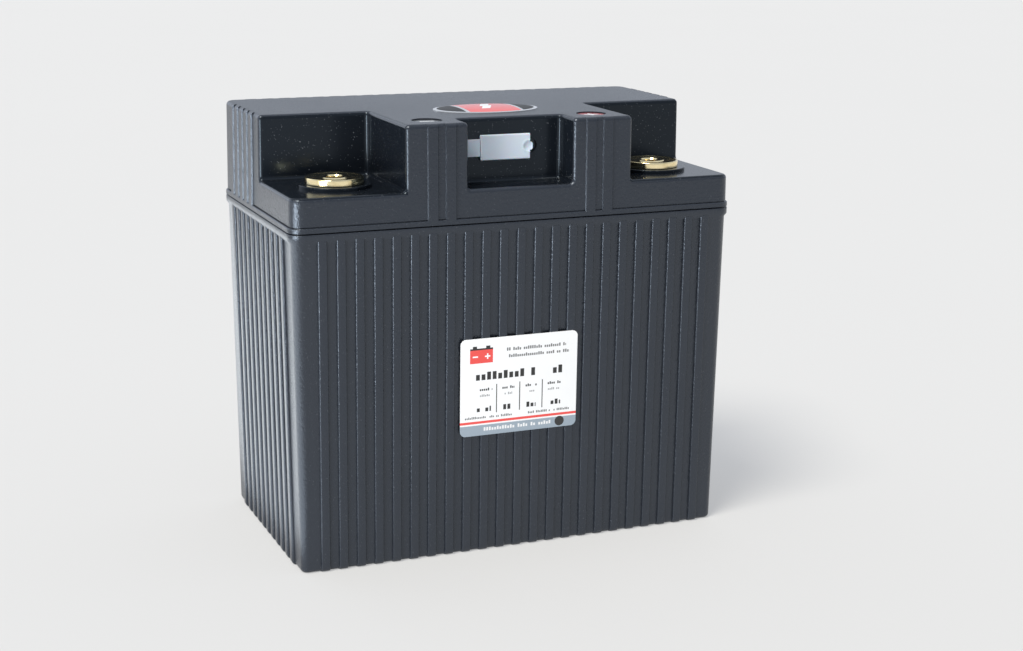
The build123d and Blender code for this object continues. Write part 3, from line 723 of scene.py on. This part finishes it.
def case_shell():
    """The moulded case without its ribs: hollow base, rounded foot, drafted wall, band and open inside."""
    loops = [case_loop(BASE_RIM + BASE_HOLLOW, BASE_HOLLOW), case_loop(BASE_RIM, 0.0)]
    for out, up in quarter(6):
        loops.append(case_loop(RELIEF + BASE_EDGE * (1 - out), BASE_EDGE * (1 - up)))
    band_low = seam_z - BAND_HEIGHT
    loops.append(case_loop(RELIEF, band_low - BAND_SLOPE))
    loops.append(case_loop(0.0, band_low))
    for up, out in quarter(4):
        loops.append(case_loop(BAND_ROUND * (1 - out), seam_z - BAND_ROUND * (1 - up)))
    loops.append(case_loop(INNER_WALL, seam_z))
    loops.append(case_loop(INNER_WALL, BASE_THICKNESS))
    return close_mesh("case_shell", skin(loops), "shell")


def case_ribs():
    """Upright ribs on all four sides, their crests rounded and their feet following the case's foot."""
    recipe = Recipe(
        "upright_ribs",
        Half_Length=case_high.x * MM,
        Half_Width=case_high.y * MM,
        Height=(seam_z - BAND_HEIGHT) * MM,
        Draft=CASE_DRAFT,
        Drop=BAND_HEIGHT * MM,
        Rib_Width=RIB_WIDTH * MM,
        Flank=RIB_FLANK * (RELIEF + RIB_SUNK) / RELIEF * MM,
        Depth=(RELIEF + RIB_SUNK) * MM,
        Round=RIB_ROUND * MM,
        Foot_Round=BASE_EDGE * MM,
        Front_Count=FRONT_RIBS,
        Front_Pitch=FRONT_PITCH * MM,
        Side_Count=SIDE_RIBS,
        Side_Pitch=SIDE_PITCH * MM,
        Rows=RIB_ROWS,
    )
    size = recipe.size
    section = recipe.node(
        "GeometryNodeCurvePrimitiveQuadrilateral",
        {"mode": "TRAPEZOID"},
        {
            "Bottom Width": size["Rib_Width"] + size["Flank"] * 2.0,
            "Top Width": size["Rib_Width"],
            "Height": size["Depth"],
            "Offset": 0.0,
        },
    )
    section = recipe.node(
        "GeometryNodeFilletCurve", {"mode": "POLY"}, {"Curve": section, "Radius": size["Round"], "Count": 4}
    )
    inwards = recipe.vector(y=size["Depth"] * -0.5)
    section = recipe.node("GeometryNodeTransform", None, {"Geometry": section, "Translation": inwards})
    spine = recipe.node("GeometryNodeCurvePrimitiveLine", None, {"End": recipe.vector(z=size["Height"])})
    spine = recipe.node("GeometryNodeResampleCurve", None, {"Curve": spine, "Count": size["Rows"]})
    share = recipe.node("GeometryNodeSplineParameter")
    station = recipe.vector(z=share**RIB_CROWDING * size["Height"] + RIB_LIFT * MM)
    spine = recipe.node("GeometryNodeSetPosition", None, {"Geometry": spine, "Position": station})
    bar = recipe.node(
        "GeometryNodeCurveToMesh", None, {"Curve": spine, "Profile Curve": section, "Fill Caps": True}
    )
    up = recipe.split(recipe.node("GeometryNodeInputPosition"))[2]
    drawn = (size["Height"] + size["Drop"] - up) * size["Draft"]
    short = (size["Foot_Round"] - up).math("MAXIMUM", 0.0)
    arc = (size["Foot_Round"] * size["Foot_Round"] - short * short).math("SQRT")
    inward = drawn + size["Foot_Round"] - arc
    bar = recipe.node(
        "GeometryNodeSetPosition", None, {"Geometry": bar, "Offset": recipe.vector(y=-inward)}
    )
    rows = []
    for turn, reach, count, pitch in (
        (0.0, "Half_Width", "Front_Count", "Front_Pitch"),
        (pi, "Half_Width", "Front_Count", "Front_Pitch"),
        (pi / 2, "Half_Length", "Side_Count", "Side_Pitch"),
        (-pi / 2, "Half_Length", "Side_Count", "Side_Pitch"),
    ):
        start = (size[count] - 1.0) * size[pitch] * -0.5
        line = recipe.node(
            "GeometryNodeMeshLine",
            {"mode": "OFFSET"},
            {
                "Count": size[count],
                "Start Location": recipe.vector(x=start, y=size[reach]),
                "Offset": recipe.vector(x=size[pitch]),
            },
        )
        row = recipe.node("GeometryNodeInstanceOnPoints", None, {"Points": line, "Instance": bar})
        row = recipe.node("GeometryNodeTransform", None, {"Geometry": row, "Rotation": (0.0, 0.0, turn)})
        rows.append(row)
    every_row = recipe.node("GeometryNodeJoinGeometry", None, {0: rows})
    shape = bmesh.new()
    shape.from_mesh(recipe.make(every_row, "shell"))
    return close_mesh("case_ribs", shape, "shell")


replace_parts(case_shell(), "case")
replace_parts(case_ribs(), "case")

# ------------------------------------------------------------------------- terminals
DISC_THICKNESS = 2.35
DISC_ROUND = 0.35
DISC_UNDERCUT = 0.2
STEM_RADIUS = 6.0
STEM_CHAMFER = 0.5
# a shallow turned dish between the disc's rim and its inner collar, as (radius, depth under the top)
DISH = (
    *((8.9, 0.0), (8.7, 0.12), (8.4, 0.22), (6.5, 0.22), (6.15, 0.38)),
    *((5.3, 0.38), (5.05, 0.30), (4.85, 0.10), (4.7, 0.03), (4.5, 0.0)),
)
THREAD_MAJOR = 3.0
THREAD_CORE = 2.5
THREAD_PITCH = 1.0
THREAD_DEPTH = 11.0
THREAD_MOUTH = 0.9
THREAD_BEVEL = 0.5
THREAD_STOP = 0.4  # the thread's end over the hole's end
THREAD_RUNOUT = 0.8  # turns left off at the mouth
RIDGE_FOOT, RIDGE_CREST = 0.9, 0.14  # widths as shares of the pitch
RIDGE_BITE = 0.02  # how deep the ridge's foot sits in the wall
TURN_STEPS = 40
LATHE_STEPS = 128


def lathe(profile, x, y):
    """A closed bmesh turned about an upright axis at (x, y) from (radius, z) points."""
    loops = []
    for radius, z in profile:
        loops.append([(*point, z) for point in ring(x, y, radius, radius, LATHE_STEPS)])
    return skin(loops)


def terminal_profile():
    """Half section of a terminal from the stem's end, over the disc, down into the bored hole."""
    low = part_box("positive_terminal")[0].z / MM
    under = disc_top - DISC_THICKNESS
    points = [(STEM_RADIUS - STEM_CHAMFER, low), (STEM_RADIUS, low + STEM_CHAMFER), (STEM_RADIUS, under)]
    points += [(disc_radius - DISC_UNDERCUT, under), (disc_radius, under + DISC_UNDERCUT)]
    for out, up in reversed(quarter(5)):
        points.append((disc_radius - DISC_ROUND + DISC_ROUND * out, disc_top - DISC_ROUND + DISC_ROUND * up))
    points += [(radius, disc_top - depth) for radius, depth in DISH]
    points.append((THREAD_CORE + THREAD_MOUTH, disc_top))
    points += [(THREAD_MAJOR, disc_top - THREAD_BEVEL), (THREAD_MAJOR, disc_top - THREAD_DEPTH)]
    return points


def thread(x, y):
    """The ridge of the thread inside a terminal's hole, as a mesh."""
    turns = (THREAD_DEPTH - THREAD_MOUTH) / THREAD_PITCH - THREAD_RUNOUT
    recipe = Recipe(
        "screw_thread",
        Radius=THREAD_MAJOR * MM,
        Pitch=THREAD_PITCH * MM,
        Turns=turns,
        Ridge=(THREAD_MAJOR - THREAD_CORE) * MM,
        Bottom=(disc_top - THREAD_DEPTH + THREAD_STOP) * MM,
        X=x * MM,
        Y=y * MM,
    )
    size = recipe.size
    section = recipe.node(
        "GeometryNodeCurvePrimitiveQuadrilateral",
        {"mode": "TRAPEZOID"},
        {
            "Bottom Width": size["Pitch"] * RIDGE_FOOT,
            "Top Width": size["Pitch"] * RIDGE_CREST,
            "Height": size["Ridge"],
            "Offset": 0.0,
        },
    )
    section = recipe.node(
        "GeometryNodeTransform",
        None,
        {
            "Geometry": section,
            "Rotation": (0.0, 0.0, -pi / 2),
            "Translation": recipe.vector(x=size["Ridge"] * 0.5 - RIDGE_BITE * MM),
        },
    )
    helix = recipe.node(
        "GeometryNodeCurveSpiral",
        None,
        {
            "Resolution": TURN_STEPS,
            "Rotations": size["Turns"],
            "Start Radius": size["Radius"],
            "End Radius": size["Radius"],
            "Height": size["Turns"] * size["Pitch"],
        },
    )
    helix = recipe.node("GeometryNodeSetCurveNormal", {"mode": "Z_UP"}, {"Curve": helix})
    ridge = recipe.node(
        "GeometryNodeCurveToMesh", None, {"Curve": helix, "Profile Curve": section, "Fill Caps": True}
    )
    there = recipe.vector(size["X"], size["Y"], size["Bottom"])
    ridge = recipe.node("GeometryNodeTransform", None, {"Geometry": ridge, "Translation": there})
    return recipe.make(ridge, "brass")


for side, pole in ((-1, "negative"), (1, "positive")):
    turned = lathe(terminal_profile(), side * terminal_x, terminal_y)
    turned.from_mesh(thread(side * terminal_x, terminal_y))
    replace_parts(close_mesh(f"{pole}_brass_terminal", turned, "brass"), f"{pole}_terminal")


# ------------------------------------------------------------------------------ badge
BADGE_CROWN = 0.5  # the dome's middle over the plain sticker's top
BADGE_EDGE = 0.25  # the upright edge's share of the height
BADGE_STEPS = 12
BADGE_CROWDING = 1.6  # more loops near the edge
BADGE_FULLNESS = 2.4
BADGE_CLOSE = 0.985  # where the last loop is capped


def domed_badge():
    """The domed sticker: a thin upright edge, then a clear dome that is fullest in the middle."""
    low, high = (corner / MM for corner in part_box("badge"))
    half_x, half_y = (high.x - low.x) / 2, (high.y - low.y) / 2
    middle_y = (high.y + low.y) / 2
    thick = high.z - low.z + BADGE_CROWN
    outlines = [(0.0, 0.0), (0.0, BADGE_EDGE)]
    for step in range(1, BADGE_STEPS + 1):
        inward = (step / BADGE_STEPS) ** BADGE_CROWDING
        dome = 1 - (1 - inward) ** BADGE_FULLNESS
        outlines.append((inward * BADGE_CLOSE, BADGE_EDGE + (1 - BADGE_EDGE) * dome))
    loops = []
    for inward, up in outlines:
        outline = ring(0.0, middle_y, half_x * (1 - inward), half_y * (1 - inward), LATHE_STEPS)
        loops.append([(*point, low.z + thick * up) for point in outline])
    return close_mesh("domed_badge", skin(loops), "badge")


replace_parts(domed_badge(), "badge")


# -------------------------------------------------------------------------- port flap
FLAP_ROUND = 0.3
FLAP_THICKNESS = 1.4
FLAP_STATIONS = 60
FLAP_ACROSS = 36
NUB_LENGTH = 1.05
NUB_HALF = 1.45
NUB_ROUND = 0.7
NUB_STEP = 0.001  # keeps the nub's first loop apart from the plate's last
SCOOP_RADIUS = 2.1
SCOOP_DEPTH = 0.45
SCOOP_LIP = 0.12
SCOOP_FROM_END = 0.6
BOWL_EDGE, LIP_EDGE = 0.85, 1.15  # shares of the scoop's radius
CATCH_RADIUS = 1.1
CATCH_DEPTH = 1.0
CATCH_BEVEL = 0.25
CATCH_ROOT = 0.2  # how far the catch starts inside the plate, and how far it sits from its end
CATCH_STEPS = 32


def flap_front(x, z, middle_z, scoop_x):
    """How far the flap's front face stands out of its plain plane: a thumb scoop inside a low lip."""
    reach = ((x - scoop_x) ** 2 + (z - middle_z) ** 2) ** 0.5 / SCOOP_RADIUS
    if reach < BOWL_EDGE:
        return -SCOOP_DEPTH * (1 - (reach / BOWL_EDGE) ** 2)
    if reach < LIP_EDGE:
        return SCOOP_LIP * sin((reach - BOWL_EDGE) / (LIP_EDGE - BOWL_EDGE) * pi)
    return 0.0


def flap_stations(half_high, plate_end):
    """The flap's (x, half height, front's set-back) from its hinge edge, along the plate, over the nub."""
    stations = [(cover_low.x, half_high - FLAP_ROUND, FLAP_ROUND)]
    for out, up in reversed(quarter(4)):
        sunk = FLAP_ROUND * (1 - up)
        stations.append((cover_low.x + FLAP_ROUND * (1 - out), half_high - sunk, sunk))
    for step in range(1, FLAP_STATIONS):
        x = cover_low.x + (plate_end - cover_low.x) * step / FLAP_STATIONS
        stations.append((x, half_high, 0.0))
    stations += [(plate_end, half_high, 0.0), (plate_end + NUB_STEP, NUB_HALF, 0.0)]
    for out, up in quarter(6):
        stations.append((cover_high.x - NUB_ROUND * (1 - out), NUB_HALF - NUB_ROUND * (1 - up), 0.0))
    return stations


def port_flap():
    """The flap over the port: a rounded plate with a thumb scoop at its free end, a nub and a round catch."""
    middle_z = (cover_low.z + cover_high.z) / 2
    half_high = (cover_high.z - cover_low.z) / 2
    plate_end = cover_high.x - NUB_LENGTH
    back_y = cover_low.y + FLAP_THICKNESS
    front_plane = cover_low.y + SCOOP_LIP
    loops = []
    for x, half, sunk in flap_stations(half_high, plate_end):
        loop = [(x, back_y, middle_z - half), (x, back_y, middle_z + half)]
        for step in range(FLAP_ACROSS + 1):
            share = 1 - 2 * step / FLAP_ACROSS
            z = middle_z + half * share
            rim = max(0.0, abs(share) * half - (half - FLAP_ROUND))
            edge = FLAP_ROUND - max(FLAP_ROUND**2 - rim**2, 0.0) ** 0.5
            out = flap_front(x, z, middle_z, plate_end - SCOOP_FROM_END)
            loop.append((x, front_plane + edge + sunk * 0.5 - out, z))
        loops.append(loop)
    shape = skin(loops)
    catch = []
    for radius, depth in (
        (CATCH_RADIUS, -CATCH_ROOT),
        (CATCH_RADIUS, 0.0),
        (CATCH_RADIUS, CATCH_DEPTH - CATCH_BEVEL),
        (CATCH_RADIUS - CATCH_BEVEL, CATCH_DEPTH),
    ):
        outline = ring(plate_end - CATCH_ROOT, middle_z, radius, radius, CATCH_STEPS)
        catch.append([(x, back_y + depth, z) for x, z in outline])
    skin(catch, shape)
    return close_mesh("port_flap", shape, "flap", body="port_cover")


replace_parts(port_flap(), "port_cover")

# ------------------------------------------------------------------------------ stage
FLOOR_REACH = 40.0  # metres, so that the floor fills the view behind the battery
FLOOR_GLOW = 0.367
AIR_COLOUR = (0.88, 0.95, 1.07, 1.0)
AIR_LEVEL = 0.72
LEFT_PANEL, LEFT_WIDTH = 0.7, 42
FRONT_DARK, FRONT_WIDTH = 0.25, 80
KEY_COLOUR = (1.0, 0.955, 0.86)
KEY_POWER = 3.3
KEY_SPREAD = radians(24)
KEY_WAY = (0.46, 0.26, -0.85)
CARD_COLOUR = (0.90, 0.96, 1.0)

floor_mesh = bpy.data.meshes.new("studio_floor")
plan = bmesh.new()
bmesh.ops.create_grid(plan, x_segments=8, y_segments=8, size=FLOOR_REACH)
plan.to_mesh(floor_mesh)
plan.free()
floor = bpy.data.objects.new("studio_floor", floor_mesh)
bpy.context.scene.collection.objects.link(floor)
floor_finish = Finish("pale_floor", Roughness=0.9, Emission_Strength=FLOOR_GLOW)
floor_finish.shader.inputs["Specular IOR Level"].default_value = 0.1
floor_finish.shader.inputs["Emission Color"].default_value = grey(1.0)
paper_tone = floor_finish.noise(300.0, detail=2.0)
floor_finish.set("Base Color", floor_finish.blend(paper_tone, grey(0.300), grey(0.306)))
floor.data.materials.append(floor_finish.material)


def studio_air():
    """A soft white tent with a cool tint: a tall bright panel at the left, dimmer towards the front."""
    world = bpy.data.worlds.new("studio_air")
    world.use_nodes = True
    air = Tree(world.node_tree)
    way = air.node("ShaderNodeTexCoord", output="Generated")

    def glow(towards, width):
        """1 towards a direction, falling to 0 at an angle from it."""
        aimed = Vector(towards).normalized()
        facing = air.node(
            "ShaderNodeVectorMath", {"operation": "DOT_PRODUCT"}, {0: way, 1: aimed}, output="Value"
        )
        ends = {"Value": facing, 1: cos(radians(width)), 2: 1.0, 3: 0.0, 4: 1.0}
        return air.node("ShaderNodeMapRange", {"interpolation_type": "SMOOTHSTEP"}, ends)

    left = glow((-0.5, 0.85, 0.12), LEFT_WIDTH) * LEFT_PANEL
    strength = left + glow((0.3, -0.9, 0.0), FRONT_WIDTH) * -FRONT_DARK + AIR_LEVEL
    background = world.node_tree.nodes["Background"]
    background.inputs["Color"].default_value = AIR_COLOUR
    world.node_tree.links.new(strength.socket, background.inputs["Strength"])
    return world


bpy.context.scene.world = studio_air()
bpy.context.scene.view_settings.view_transform = "Standard"

sun_data = bpy.data.lights.new("soft_key", "SUN")
sun_data.energy = KEY_POWER
sun_data.angle = KEY_SPREAD
sun_data.color = KEY_COLOUR
sun = bpy.data.objects.new("soft_key", sun_data)
sun.rotation_euler = Vector(KEY_WAY).to_track_quat("-Z", "Y").to_euler()
bpy.context.scene.collection.objects.link(sun)

# cards that light the battery and leave the floor even
card_targets = bpy.data.collections.new("card_targets")
card_targets.objects.link(floor)
card_targets.collection_objects[0].light_linking.link_state = "EXCLUDE"


def card(name, place, aimed, size, radiance):
    """A soft rectangular light, out of the camera's sight."""
    data = bpy.data.lights.new(name, "AREA")
    data.shape = "RECTANGLE"
    data.size, data.size_y = size
    data.energy = radiance * size[0] * size[1] * pi
    data.color = CARD_COLOUR
    lamp = bpy.data.objects.new(name, data)
    lamp.location = place
    lamp.rotation_euler = (Vector(aimed) - Vector(place)).to_track_quat("-Z", "Y").to_euler()
    lamp.visible_camera = False
    lamp.light_linking.receiver_collection = card_targets
    bpy.context.scene.collection.objects.link(lamp)


# a wide card on the floor that lights the left side from below
card("low_left_card", place=(-0.205, 0.22, 0.002), aimed=(-0.205, 0.22, 0.5), size=(0.23, 0.60), radiance=1.75)
# a small strong card that draws the light lines on the rib edges
card("rib_strip", place=(-0.36, -0.20, 0.07), aimed=(0.0, -0.04, 0.07), size=(0.16, 0.13), radiance=15.0)
